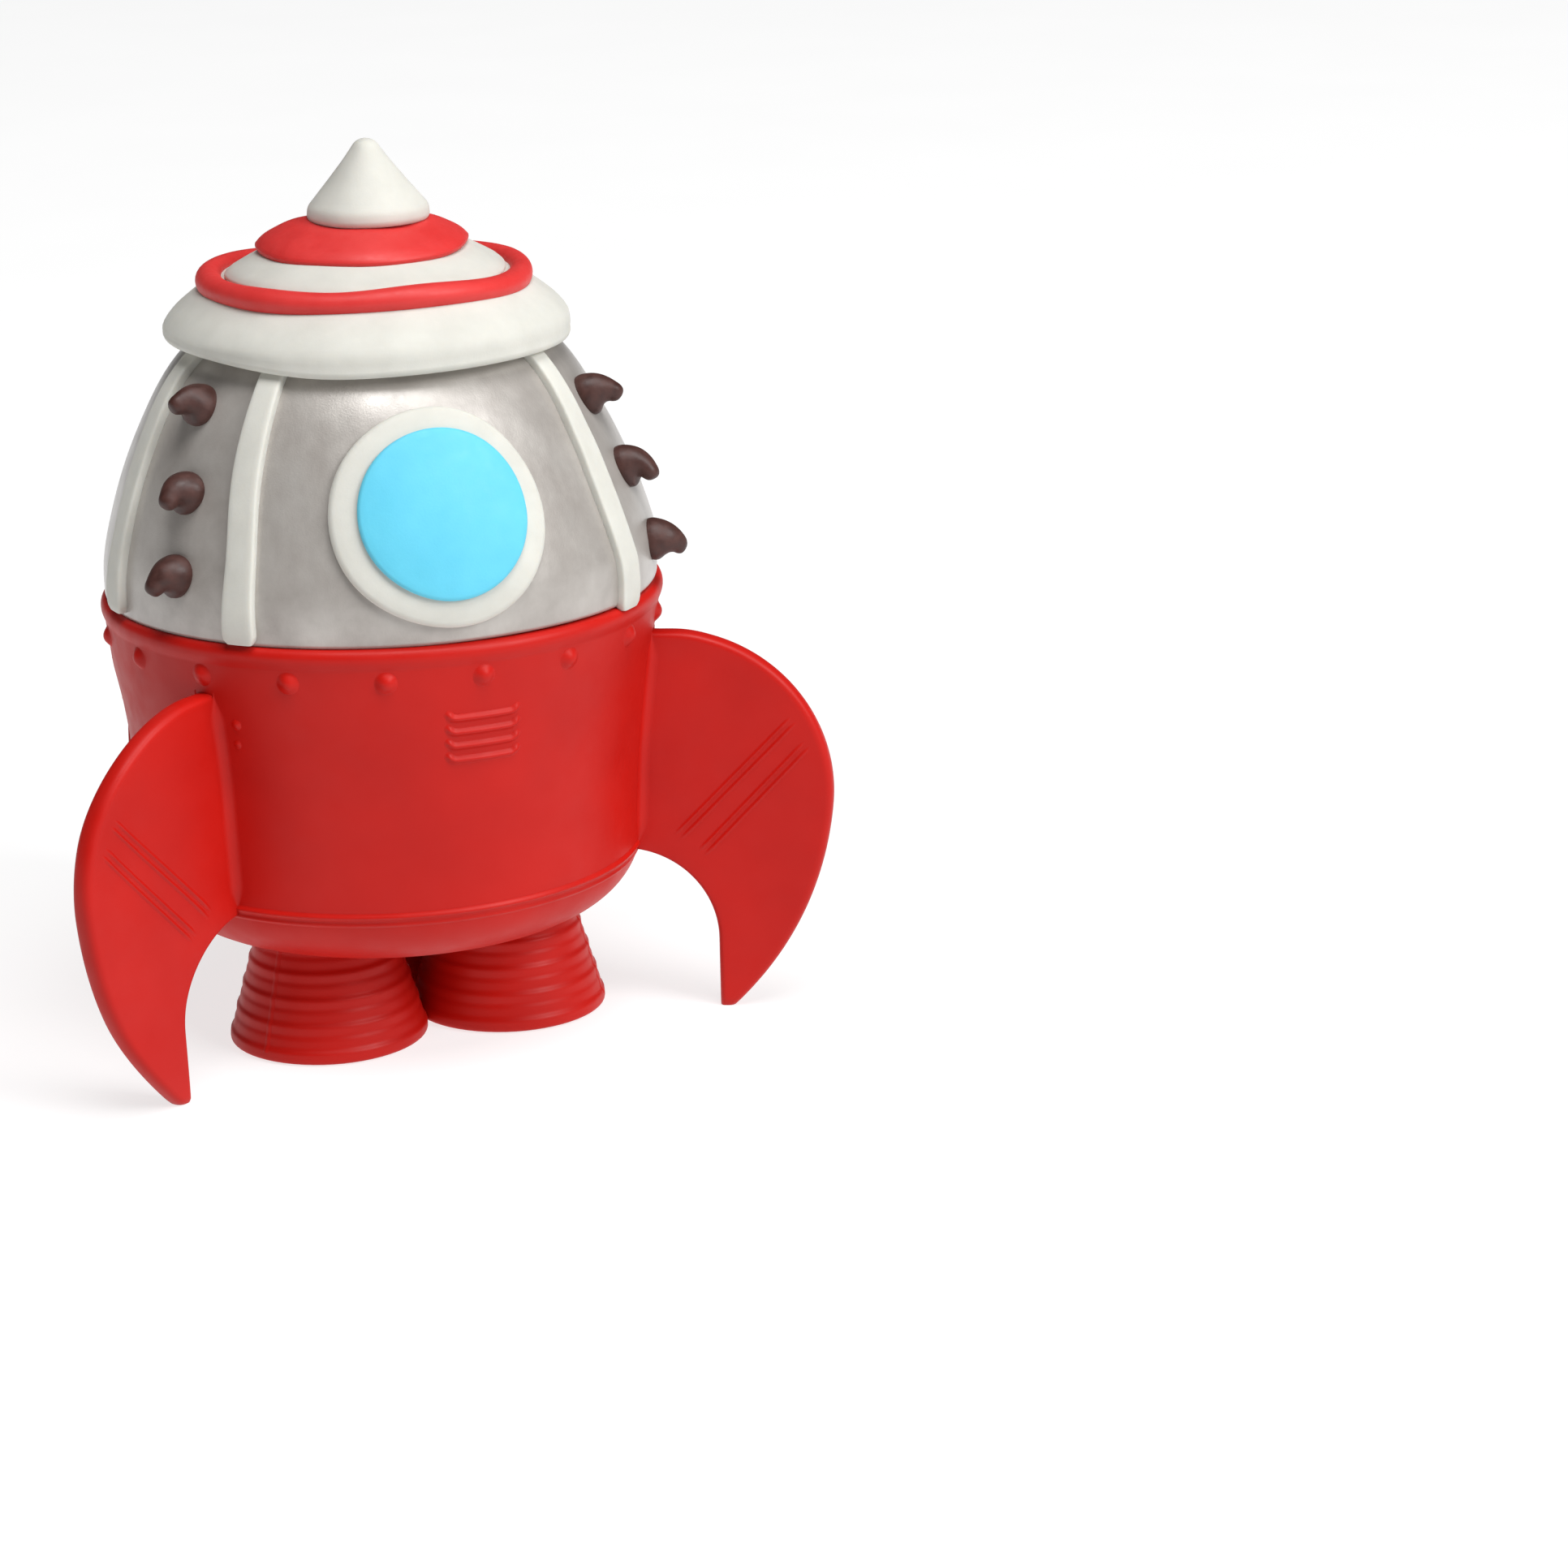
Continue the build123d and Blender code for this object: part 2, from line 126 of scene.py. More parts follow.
def sheet(grid, wrap_rows=False, caps=True):
    """Closed surface from a grid (rows, columns, 3) whose columns run round: quads between rows.
    Open ends are closed by a fan to the mean of the end row. Its faces are turned to point outwards."""
    rows, columns = grid.shape[:2]
    points = grid.reshape(-1, 3)
    row = np.arange(rows if wrap_rows else rows - 1)[:, None]
    col = np.arange(columns)[None, :]
    here, up = row * columns, (row + 1) % rows * columns
    right = (col + 1) % columns
    quads = np.stack([here + col, here + right, up + right, up + col], -1).reshape(-1, 4)
    fans = np.zeros((0, 3), int)
    if caps and not wrap_rows:
        low, high = len(points), len(points) + 1
        points = np.concatenate([points, grid[:1].mean(1), grid[-1:].mean(1)])
        ring, last = np.arange(columns), (rows - 1) * columns
        turn = np.roll(ring, -1)
        bottom = np.stack([turn, ring, np.full(columns, low)], -1)
        top = np.stack([last + ring, last + turn, np.full(columns, high)], -1)
        fans = np.concatenate([bottom, top])
    triangles = np.concatenate([quads[:, [0, 1, 2]], quads[:, [0, 2, 3]], fans])
    a, b, c = (points[triangles[:, k]] for k in range(3))
    if np.einsum("ij,ij->i", a, np.cross(b, c)).sum() < 0:
        quads, fans = quads[:, ::-1], fans[:, ::-1]
    return points, quads, fans


def lathe(profile, columns, shape=None):
    """Surface of revolution: a profile of radius and height carried round the axis.
    shape changes the points from (radius, height, azimuth in degrees) before they are placed."""
    azimuth = np.arange(columns) * 360 / columns
    radius, z, azimuth = np.broadcast_arrays(profile[:, :1], profile[:, 1:], azimuth[None, :])
    if shape:
        radius, z = shape(radius, z, azimuth)
    return sheet(polar(radius, azimuth, z))


def moved(surface, matrix=None, offset=(0, 0, 0)):
    """The surface turned by a 3x3 matrix, then shifted."""
    points, quads, fans = surface
    if matrix is not None:
        points = points @ np.array(matrix).T
    return points + np.array(offset), quads, fans


WIDE_SIDE = ((36, 0.0), (50, 0.5), (56, 1.0), (65, 1.35), (70, 1.0), (76, 0.4), (82, 0.0))
NARROW_SIDE = ((34, 0.0), (40, -0.4), (45, -0.15), (50, 0.35), (58, 0.35), (70, 0.1), (78, 0.0))
WIDE_AZIMUTH = 64.64


def slumped(surface):
    """The soft mouth and the cake in it, sagged out of round: each point goes away from the axis by an amount
    read off at its height, times smoothstep of the cosine of its azimuth from the wide side."""
    points, quads, fans = surface
    angle = np.radians(WIDE_AZIMUTH)
    radius = np.hypot(points[:, 0], points[:, 1])
    toward = (points[:, 0] * np.sin(angle) - points[:, 1] * np.cos(angle)) / np.maximum(radius, 1.0)
    wide, narrow = np.array(WIDE_SIDE), np.array(NARROW_SIDE)
    amount = np.interp(points[:, 2], wide[:, 0], wide[:, 1]) * smoothstep(toward)
    amount += np.interp(points[:, 2], narrow[:, 0], narrow[:, 1]) * smoothstep(-toward)
    amount *= np.clip(radius / 24, 0, 1) * (1 - smoothstep((radius - 38) / 6))
    factor = 1 + amount / np.maximum(radius, 1.0)
    return points * np.stack([factor, factor, np.ones_like(factor)], -1), quads, fans


def piece(name, surfaces, material, body, stands_for=()):
    """One object from closed surfaces in mm: smooth faces, on a body, in place of CAD nodes."""
    start, vertices, faces = 0, [], []
    for points, quads, fans in surfaces:
        vertices.append(points)
        faces += (quads + start).tolist() + (fans + start).tolist()
        start += len(points)
    mesh = bpy.data.meshes.new(name)
    mesh.from_pydata((np.concatenate(vertices) * MM).tolist(), [], faces)
    mesh.polygons.foreach_set("use_smooth", np.ones(len(mesh.polygons), bool))
    mesh.set_sharp_from_angle(angle=np.radians(50))
    mesh.update()
    made = bpy.data.objects.new(name, mesh)
    bpy.context.scene.collection.objects.link(made)
    mesh.materials.append(material)
    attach(made, body)
    if stands_for:
        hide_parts(*stands_for)
    return made


# ================================================================ materials
def linear(code):
    """An sRGB hex colour as linear RGBA."""
    value = np.array([int(code[k : k + 2], 16) for k in (1, 3, 5)]) / 255
    value = np.where(value > 0.04045, ((value + 0.055) / 1.055) ** 2.4, value / 12.92)
    return (*value.tolist(), 1.0)


def add(tree, kind, inputs=(), **settings):
    """Adds a node with its settings, and fills or links its sockets from (socket, value) pairs."""
    made = tree.nodes.new(kind)
    for key, value in settings.items():
        setattr(made, key, value)
    for key, value in inputs:
        if isinstance(value, bpy.types.NodeSocket):
            tree.links.new(value, made.inputs[key])
        else:
            made.inputs[key].default_value = value
    return made


def new_material(name, sockets):
    """An empty material with a Principled shader set up, and its tree, shader and object coordinates."""
    made = bpy.data.materials.new(name)
    made.use_nodes = True
    tree = made.node_tree
    tree.nodes.clear()
    shader = add(tree, "ShaderNodeBsdfPrincipled", sockets)
    add(tree, "ShaderNodeOutputMaterial", [("Surface", shader.outputs[0])])
    place = add(tree, "ShaderNodeTexCoord").outputs["Object"]
    return made, tree, shader, place


def noise(tree, place, size_mm, detail=3.0, roughness=0.5, distortion=0.0):
    """Noise whose lumps are about size_mm across: its scale is one over that size in metres."""
    sockets = [("Vector", place), ("Scale", 1 / (size_mm * MM)), ("Detail", detail)]
    sockets += [("Roughness", roughness), ("Distortion", distortion)]
    return add(tree, "ShaderNodeTexNoise", sockets).outputs[0]


def ramp(tree, value, *stops):
    """Colour ramp with (position, colour) stops."""
    made = add(tree, "ShaderNodeValToRGB", [("Fac", value)])
    elements = made.color_ramp.elements
    while len(elements) < len(stops):
        elements.new(0.5)
    for element, (position, colour) in zip(elements, stops):
        element.position = position
        element.color = linear(colour)
    return made.outputs[0]


def span(tree, value, low, high, start=0.3, end=0.7):
    """Maps a value from start..end to low..high, held within that."""
    sockets = [(0, value), (1, start), (2, end), (3, low), (4, high)]
    return add(tree, "ShaderNodeMapRange", sockets).outputs[0]


def bumped(tree, shader, *layers):
    """Bump from layers of (height output, depth in mm), one on another, into the shader."""
    normal = None
    for height, depth in layers:
        sockets = [("Height", height), ("Distance", depth * MM), ("Strength", 1.0)]
        if normal is not None:
            sockets.append(("Normal", normal))
        normal = add(tree, "ShaderNodeBump", sockets).outputs[0]
    tree.links.new(normal, shader.inputs["Normal"])


def link(tree, output, shader, socket):
    """Joins an output to a socket of the shader."""
    tree.links.new(output, shader.inputs[socket])


def moulded_silicone():
    """Platinum-cured silicone rubber from a blasted steel mould: satin and opaque, with a
    fine mottle from the blasting and a dusting that makes the sheen uneven."""
    made, tree, shader, place = new_material("moulded_red_silicone", [
        ("IOR", 1.41), ("Specular IOR Level", 0.35),
    ])
    cloud = noise(tree, place, 14, 2.0)
    link(tree, ramp(tree, cloud, (0.3, "#B81108"), (0.7, "#C2150B")), shader, "Base Color")
    film = noise(tree, place, 3.0, 3.0)
    link(tree, span(tree, film, 0.42, 0.52), shader, "Roughness")
    bumped(tree, shader, (noise(tree, place, 0.35, 2.0), 0.008), (noise(tree, place, 5.0, 1.0), 0.05))
    return made


def rolled_icing(name, dark, light, roughness=0.62):
    """Rolled sugar icing, smoothed by hand: matt with a soft glow in it, faint thumb dents and sugar dust."""
    made, tree, shader, place = new_material(name, [
        ("IOR", 1.45), ("Subsurface Weight", 0.2), ("Subsurface Scale", 1.5 * MM),
        ("Subsurface Radius", (1.0, 0.8, 0.6)),
    ])
    cloud = noise(tree, place, 6, 4.0, 0.6)
    link(tree, ramp(tree, cloud, (0.3, dark), (0.7, light)), shader, "Base Color")
    film = noise(tree, place, 1.2, 3.0)
    link(tree, span(tree, film, roughness - 0.06, roughness + 0.08), shader, "Roughness")
    dents = noise(tree, place, 4.5, 1.0)
    grain = noise(tree, place, 0.3, 2.0)
    bumped(tree, shader, (grain, 0.012), (dents, 0.12))
    return made


def lustre_icing():
    """Rolled icing brushed with silver lustre dust: pearly, half metallic, with brush streaks up the dome
    and fine mica glitter."""
    made, tree, shader, place = new_material("silver_lustre_icing", [
        ("IOR", 1.5), ("Coat Weight", 1.0), ("Coat Roughness", 0.34),
    ])
    patch = noise(tree, place, 7, 4.0, 0.6)
    link(tree, ramp(tree, patch, (0.25, "#9C958F"), (0.75, "#C1BCB6")), shader, "Base Color")
    link(tree, span(tree, patch, 0.15, 0.35), shader, "Metallic")
    stretch = add(tree, "ShaderNodeMapping", [("Vector", place), ("Scale", (1.0, 1.0, 0.22))]).outputs[0]
    streak = noise(tree, stretch, 1.4, 3.0, 0.6)
    link(tree, span(tree, streak, 0.34, 0.48), shader, "Roughness")
    glitter = noise(tree, place, 0.25, 1.0)
    dents = noise(tree, place, 6.0, 1.0)
    bumped(tree, shader, (glitter, 0.02), (streak, 0.03), (dents, 0.15))
    return made


def drop_chocolate():
    """Moulded-drop dark chocolate: brown with a soft gloss, a little bloom and fine ripples."""
    made, tree, shader, place = new_material("drop_chocolate", [("IOR", 1.47)])
    bloom = noise(tree, place, 1.5, 4.0)
    link(tree, ramp(tree, bloom, (0.3, "#3A1E19"), (0.75, "#52312B")), shader, "Base Color")
    link(tree, span(tree, bloom, 0.42, 0.6), shader, "Roughness")
    bumped(tree, shader, (noise(tree, place, 0.6, 2.0), 0.03))
    return made


def baked_sponge():
    """Sponge baked against smooth silicone: golden crust, darker where it browned, with small open pores."""
    made, tree, shader, place = new_material("baked_sponge_crust", [
        ("IOR", 1.4), ("Subsurface Weight", 0.1), ("Subsurface Scale", 1.5 * MM),
    ])
    brown = noise(tree, place, 9, 5.0, 0.65)
    link(tree, ramp(tree, brown, (0.25, "#A8692F"), (0.5, "#C98F4C"), (0.8, "#E2B673")), shader, "Base Color")
    sockets = [("Vector", place), ("Scale", 1 / (1.3 * MM))]
    cells = add(tree, "ShaderNodeTexVoronoi", sockets).outputs["Distance"]
    pores = span(tree, cells, 0.0, 1.0, 0.12, 0.4)
    link(tree, span(tree, brown, 0.7, 0.85), shader, "Roughness")
    bumped(tree, shader, (pores, 0.25), (noise(tree, place, 2.5, 4.0, 0.6), 0.3))
    return made


def lit_table():
    """Opal acrylic table lit from below: a soft white glow, so a shadow on it stays faint."""
    made, tree, shader, place = new_material("opal_acrylic_table", [
        ("IOR", 1.45), ("Roughness", 0.9), ("Emission Color", (1, 1, 1, 1)), ("Emission Strength", 0.74),
    ])
    haze = noise(tree, place, 60, 2.0)
    link(tree, ramp(tree, haze, (0.3, "#949494"), (0.7, "#979797")), shader, "Base Color")
    return made


RED_SILICONE = moulded_silicone()
WHITE_ICING = rolled_icing("white_rolled_icing", "#CDCCC4", "#D6D5CD")
RED_ICING = rolled_icing("red_rolled_icing", "#D12E2C", "#D93836", 0.5)
BLUE_ICING = rolled_icing("blue_rolled_icing", "#5FC6E2", "#66CCE7", 0.55)
BUTTERCREAM = rolled_icing("whipped_buttercream", "#EBDDB4", "#F4E9C8", 0.5)
SILVER_ICING = lustre_icing()
CHOCOLATE = drop_chocolate()
SPONGE = baked_sponge()


# ================================================================ the moulded cup
RIM_TOP = 58.8
BEAD_FOOT = 55.8
BEAD_INNER = 33.5
WALL_FOOT = (33.25, 24.0)
WALL_POINTS = ((33.25, 24.0), (33.75, 34.0), (34.45, 43.5), (35.7, 56.4))
BOWL_FLAT = 22.0
BOWL_BOTTOM = 14.5
INNER_FOOT = (31.15, 24.0)
INNER_FLAT = 19.9
INNER_FLOOR = 16.9
FIN_AZIMUTHS = (60, 180, 300)
VENT_AZIMUTHS = (0, 120, 240)
DOOR_AZIMUTH = 240
SHELL_COLUMNS = 200
RIM_LINE = (
    (35.68, 56.1), (35.9, 56.6), (36.08, 57.2), (36.05, 57.9),
    (35.75, 58.45), (35.2, 58.75), (34.6, RIM_TOP),
)

WALL_CUBIC = np.polyfit([z for r, z in WALL_POINTS], [r for r, z in WALL_POINTS], 3)


def wall_radius(z):
    """Outside radius of the cup at a height: a cubic up the wall, an ellipse round the bowl."""
    drop = np.clip((WALL_FOOT[1] - z) / (WALL_FOOT[1] - BOWL_BOTTOM), 0, 1)
    bowl = BOWL_FLAT + (WALL_FOOT[0] - BOWL_FLAT) * np.sqrt(1 - drop**2)
    return np.where(z >= WALL_FOOT[1], np.polyval(WALL_CUBIC, z), bowl)


def wall_frame(azimuth, z):
    """Point on the cup's outside, and the outward normal there, from the slope of its radius."""
    step = 0.05
    slope = (wall_radius(z + step) - wall_radius(z - step)) / (2 * step)
    normal = polar(np.ones_like(slope), azimuth, -slope)
    return polar(wall_radius(z), azimuth, z), normal / np.linalg.norm(normal, axis=-1, keepdims=True)


def ridge(path, height, half_width, closed=False, taper=0.8):
    """Soft raised line on the cup: path is (distance round the wall in mm, height, azimuth of its zero).
    Its section is height * cos^2 of the distance from the line, so it leaves the wall without an edge,
    and both ends die away over the taper."""
    azimuth = path[:, 2] + np.degrees(path[:, 0] / wall_radius(path[:, 1]))
    centre, normal = wall_frame(azimuth, path[:, 1])
    if closed:
        along = np.roll(centre, -1, 0) - np.roll(centre, 1, 0)
    else:
        along = np.gradient(centre, axis=0)
    along /= np.linalg.norm(along, axis=1, keepdims=True)
    side = np.cross(normal, along)
    run = np.r_[0, np.cumsum(np.linalg.norm(np.diff(centre, axis=0), axis=1))]
    fade = np.ones(len(run)) if closed else smoothstep(np.minimum(run, run[-1] - run) / taper)
    across = np.linspace(-1, 1, 9)
    lift = np.cos(across * np.pi / 2) ** 2 * height
    top = np.stack([across * half_width, lift], -1)
    under = np.array([[half_width, -0.35], [-half_width, -0.35]])
    section = np.concatenate([top, under])
    up = np.where(section[:, 1] > 0, section[:, 1] * fade[:, None], section[:, 1]) - 0.01
    grid = centre[:, None] + side[:, None] * section[None, :, :1] + normal[:, None] * up[..., None]
    return sheet(grid, wrap_rows=closed)


def on_wall(points, azimuth, step=0.35, radius=0.5):
    """A drawn line (distance across, height) as a ridge path on the wall at an azimuth."""
    path = softened(np.array(points, float), step, radius)
    return np.column_stack([path, np.full(len(path), azimuth)])


def cup_shell():
    """Bowl, wall, bead and hollow as one turned skin."""
    bowl_size = (WALL_FOOT[0] - BOWL_FLAT, WALL_FOOT[1] - BOWL_BOTTOM)
    bowl = arc((BOWL_FLAT, WALL_FOOT[1]), bowl_size, -90, 0, 22)
    z = np.linspace(WALL_FOOT[1] + 1.0, BEAD_FOOT, 26)
    wall = np.column_stack([wall_radius(z), z])
    outer_bead = through(RIM_LINE, 22)
    inner_bead = arc((BEAD_INNER + 0.9, RIM_TOP - 0.9), 0.9, 90, 180, 8)
    inside = line((BEAD_INNER, RIM_TOP - 2.5), INNER_FOOT, 24)
    corner_size = (INNER_FOOT[0] - INNER_FLAT, INNER_FOOT[1] - INNER_FLOOR)
    corner = arc((INNER_FLAT, INNER_FOOT[1]), corner_size, 0, -90, 18)
    start = line((0.5, BOWL_BOTTOM), (BOWL_FLAT - 1, BOWL_BOTTOM), 5)
    end = line((INNER_FLAT - 1, INNER_FLOOR), (0.5, INNER_FLOOR), 5)
    profile = np.concatenate([start, bowl, wall, outer_bead, inner_bead, inside, corner, end])
    return lathe(profile, SHELL_COLUMNS)


def stud(azimuth, z, radius, height):
    """Low round stud on the wall: height * (1 - (r/R)^2.2)^1.6, so it has a soft foot."""
    share = np.linspace(0.04, 1, 11)[:, None]
    turn = np.arange(20) / 20 * TAU
    rise = height * (1 - share**2.2) ** 1.6 - 0.02
    across, up = share * radius * np.sin(turn), share * radius * np.cos(turn)
    centre, out = wall_frame(azimuth + np.degrees(across / wall_radius(z)), z + up)
    grid = centre + out * rise[..., None]
    base = grid[-1:] - out[-1:] * 0.4
    return sheet(np.concatenate([grid, base]))


def cup_studs():
    """Eighteen rivets under the bead, and two small nubs beside each fin."""
    made = [stud(azimuth, 54.4, 1.55, 0.8) for azimuth in np.arange(18) * 20]
    for azimuth in FIN_AZIMUTHS:
        made += [stud(azimuth + 7.2, 48.2, 0.8, 0.35), stud(azimuth + 6.8, 45.5, 0.7, 0.2)]
    return made


def cup_vents():
    """Four short level lines with turned-up ends, in each of the three sectors."""
    made = []
    for azimuth in VENT_AZIMUTHS:
        for row in range(4):
            z = 49.0 - 1.85 * row
            drawn = [(-5.0, z + 0.95), (-4.0, z), (4.0, z), (5.0, z + 0.95)]
            made.append(ridge(on_wall(drawn, azimuth, 0.3, 0.6), 0.42, 0.62))
    return made


def door_line(half_width, bottom, spring=36.9):
    """Outline of a door with a half-round head, drawn from the foot up one side and down the other."""
    head = arc((0, spring), half_width, 0, 180, 24)
    left = line((-half_width, spring), (-half_width, bottom), 20)
    sill = line((-half_width, bottom), (half_width, bottom), 12)
    right = line((half_width, bottom), (half_width, spring), 20)
    return np.concatenate([right[:-1], head, left[1:-1], sill])


def cup_door():
    """Door frame in two nested lines, with a round window, on one sector."""
    made = []
    for half_width, bottom, width in ((5.1, 19.2, 0.6), (3.9, 20.7, 0.4)):
        drawn = even(door_line(half_width, bottom), 0.5)[:-1]
        path = np.column_stack([drawn, np.full(len(drawn), DOOR_AZIMUTH)])
        made.append(ridge(path, 0.38 if width > 0.5 else 0.22, width, closed=True))
    window = arc((0, 36.7), 3.0, 0, 360, 41)[:-1]
    path = np.column_stack([window, np.full(len(window), DOOR_AZIMUTH)])
    made.append(ridge(path, 0.4, 0.55, closed=True))
    return made


def cup_band():
    """Raised line round the foot of the wall, which stops at the door."""
    door_edge = 9.6
    azimuth = np.linspace(DOOR_AZIMUTH + door_edge, DOOR_AZIMUTH + 360 - door_edge, 200)
    made = []
    for z, height, half_width in ((23.0, 0.32, 0.55), (21.9, 0.16, 0.4)):
        path = np.column_stack([np.zeros(200), np.full(200, z), azimuth])
        made.append(ridge(path, height, half_width, taper=0.4))
    return made


FIN_HALF = 1.5
FIN_CROWN = ((37.6, 30.2), 21.75)
FIN_CROWN_END = -6.3
FIN_TIP = (45.7, 0.05)
FIN_HEEL = (43.6, 0.05)
FIN_HOLLOW = ((31.0, 9.5), 12.6)
FIN_BENDS = (0.0, 0.0, 1.0)
FIN_EDGE_POWER = 0.78
FIN_LINE_PAIRS = (((54.4, 40.2), (38.4, 23.7)), ((56.1, 36.8), (41.5, 21.4)))


def part_way(path, at):
    """Points of a path at fractional indexes."""
    return np.stack([np.interp(at, np.arange(len(path)), path[:, k]) for k in (0, 1)], -1)


def squarer(value):
    """A sine or cosine of the fin's edge, raised to a power below one, so the edge is squarer than round."""
    return np.clip(value, 0, 1) ** FIN_EDGE_POWER


def fin_edges(count):
    """The fin's outer and inner edge, as radius and height from the wall to the tip, in matching steps."""
    end = np.radians(FIN_CROWN_END)
    crown_end = FIN_CROWN[0] + np.array([np.cos(end), np.sin(end)]) * FIN_CROWN[1]
    top = line((34.3, 51.95), (37.4, 51.95), 6)
    crown = arc(*FIN_CROWN, 90, FIN_CROWN_END, 60)
    chord = np.array(FIN_TIP) - crown_end
    leave = np.array([np.sin(end), -np.cos(end)])
    bow = 2 * (leave @ chord)
    share = np.linspace(0, 1, 40)[1:, None]
    control = crown_end + leave * (chord @ chord) / bow
    blade = crown_end * (1 - share) ** 2 + 2 * control * share * (1 - share)
    blade = blade + np.array(FIN_TIP) * share**2
    outer = even(np.concatenate([top, crown, blade]), 0.2)
    z = np.linspace(51.6, 22.6, 40)
    root = np.column_stack([wall_radius(z) - 1.0, z])
    hollow = arc(*FIN_HOLLOW, 82, 0, 30)
    heel = line((43.6, 9.0), FIN_HEEL, 10)
    inner = even(np.concatenate([root, hollow, heel]), 0.2)
    share = np.linspace(0, 1, count)
    return part_way(outer, share * (len(outer) - 1)), part_way(inner, share * (len(inner) - 1))


def fin_surface():
    """Fin in the XZ plane: a ruled grid between its two edges, as thick as a quarter ellipse near an edge."""
    outer, inner = fin_edges(110)
    chord = np.linalg.norm(inner - outer, axis=1)[:, None]
    turn = np.radians(np.linspace(0, 90, 9))[None, :]
    round_out, round_in = 1.3, 0.8
    squeeze = np.minimum(1, chord / (round_out + round_in + 0.2))
    near_out = round_out * (1 - squarer(np.cos(turn))) * squeeze
    near_in = chord - round_in * (1 - squarer(np.cos(turn[:, ::-1]))) * squeeze
    flat = near_out[:, -1:] + (near_in[:, :1] - near_out[:, -1:]) * np.linspace(0, 1, 10)[1:-1]
    reach = np.concatenate([near_out, flat, near_in], 1) / chord
    half = np.concatenate([squarer(np.sin(turn[0])), np.ones(8), squarer(np.sin(turn[0, ::-1]))]) * FIN_HALF
    front = outer[:, None] + (inner - outer)[:, None] * reach[..., None]
    half = np.broadcast_to(half, reach.shape)
    above = 1 - np.clip(front[..., 1] / 0.8, 0, 1)
    foot_round = np.sqrt(np.clip(1 - above**2, 0, 1)) * 0.35 + 0.65
    one = np.stack([front[..., 0], -half * foot_round, front[..., 1]], -1)
    two = one[:, ::-1][:, 1:-1] * [1, -1, 1]
    return sheet(np.concatenate([one, two], 1))


def fin_lines():
    """Two pairs of fine raised lines across each face of the fin, from its crown down to its hollow."""
    made = []
    for start, end in FIN_LINE_PAIRS:
        along = even(line(start, end, 30), 0.6)
        run = np.linspace(0, 1, len(along))
        fade = smoothstep(np.minimum(run, 1 - run) * 10)
        way = (np.array(end) - start) / np.linalg.norm(np.array(end) - start)
        side = np.array([-way[1], way[0]])
        across = np.linspace(-1, 1, 7)
        lift = np.r_[np.cos(across * np.pi / 2) ** 2 * 0.22, -0.4, -0.4]
        for middle in (-0.5, 0.5):
            offset = np.r_[across, 1, -1] * 0.34 + middle
            flat = along[:, None] + side * offset[None, :, None]
            depth = FIN_HALF - 0.01 + np.where(lift > 0, lift * fade[:, None], lift)
            for face in (-1, 1):
                made.append(sheet(np.stack([flat[..., 0], face * depth, flat[..., 1]], -1)))
    return made


def fin_roots():
    """Concave fillets where a fin's faces meet the wall: x = r + q(1 - sin a), y = half + q(1 - cos a)."""
    z = np.linspace(22.4, 52.2, 60)
    q = 1.3 * smoothstep((z - 22.2) / 4) * smoothstep((52.4 - z) / 4)
    q = np.maximum(q, 0.05)[:, None]
    angle = np.radians(np.linspace(-4, 94, 9))[None, :]
    y = FIN_HALF + q * (1 - np.cos(angle))
    x = np.sqrt(wall_radius(z)[:, None] ** 2 - y**2) + q * (1 - np.sin(angle))
    back = np.column_stack([wall_radius(z) - 0.8, np.full(len(z), FIN_HALF - 0.7)])
    x, y = np.column_stack([x, back[:, 0]]), np.column_stack([y, back[:, 1]])
    height = np.broadcast_to(z[:, None], x.shape)
    return [sheet(np.stack([x, face * y, height], -1)) for face in (-1, 1)]


def bowed(surface, amount):
    """The soft fin bent sideways by an amount at the middle of its free edge, and not at its root or tip."""
    points, quads, fans = surface
    rho, z = points[:, 0], points[:, 2]
    bend = smoothstep((rho - 38) / 16) * smoothstep(z / 14) * smoothstep((51 - z) / 14)
    return points - np.outer(bend * amount, [0, 1, 0]), quads, fans


def cup_fins():
    """Three fins, each with its lines and root fillets, turned to their azimuths."""
    one = [fin_surface(), *fin_lines(), *fin_roots()]
    made = []
    for azimuth, bend in zip(FIN_AZIMUTHS, FIN_BENDS):
        turn = Matrix.Rotation(np.radians(azimuth - 90), 3, "Z")
        made += [moved(bowed(surface, bend), turn) for surface in one]
    return made


FOOT_CIRCLE = 14.8
BELL_COLUMNS = 60
SEAM_HALF_WIDTH = 0.42
SEAM_HEIGHT = 0.12


def foot_profile():
    """Bell of nine low bands, each nearly upright over a short ledge, then the open nozzle inside."""
    points = [(12.2, 0.02), (12.9, 0.3)]
    for band in range(9):
        radius, low = 13.05 - 0.475 * band, 0.5 + 1.65 * band
        draw_in = 0.08 if band % 2 == 0 else 0.24
        points += [(radius, low), (radius - draw_in, low + 1.25)]
    outside = softened(np.array(points[:-1] + [(9.05, 15.6)]), 0.17, 0.26)
    inside = softened(np.array([(12.2, 0.02), (10.5, 0.05), (7.7, 9.0), (0.6, 9.2)]), 0.5, 0.6)
    return np.concatenate([inside[::-1], outside[1:], [(0.6, 15.7)]])


